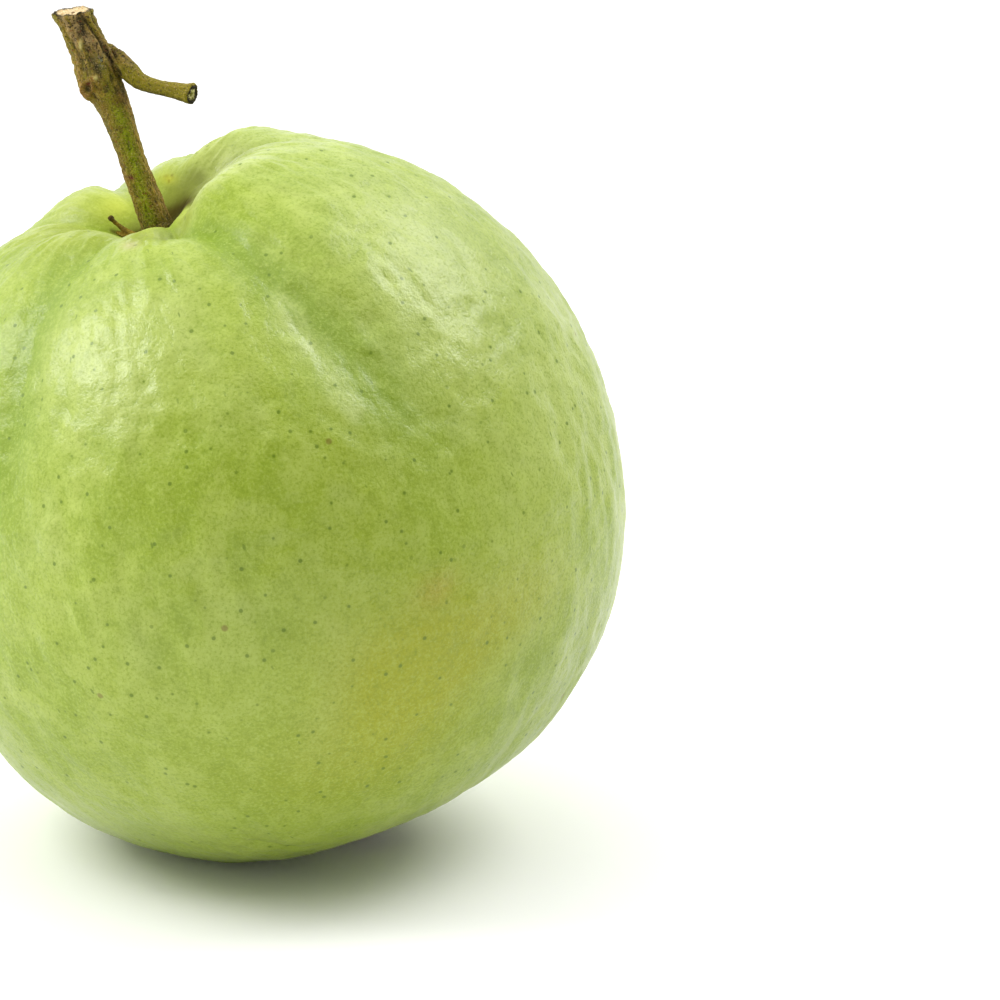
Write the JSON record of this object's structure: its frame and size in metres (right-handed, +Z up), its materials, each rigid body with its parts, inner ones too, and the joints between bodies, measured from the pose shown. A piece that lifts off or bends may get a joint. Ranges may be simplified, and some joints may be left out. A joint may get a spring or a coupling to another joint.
{
  "type": "guava fruit",
  "caption": "Whole lobed guava with a glossy pale green skin, a stem pit with its cut woody twig, a dried calyx underneath, and a small flat spot to rest on.",
  "frame": {"origin": "Middle of the object's box in X and Y, on the surface that it rests on.", "axes": "+Z up as it stands, -Y towards the viewer of the front, +X to the right. The core leans to the left and slightly back, and the twig follows it."},
  "size_m": [0.0962, 0.095, 0.1118],
  "materials": {
    "skin": "waxy fruit skin, semi gloss with fine bumps",
    "bark": "rough young bark, olive to brown, pale where cut",
    "dried_calyx": "matte dried plant tissue"
  },
  "bodies": {
    "root": {"fruit": "skin", "twig": "bark", "bracteole": "dried_calyx", "calyx_disc": "dried_calyx", "sepal_1": "dried_calyx", "sepal_2": "dried_calyx", "sepal_3": "dried_calyx", "sepal_4": "dried_calyx", "sepal_5": "dried_calyx"}
  },
  "joints": []
}
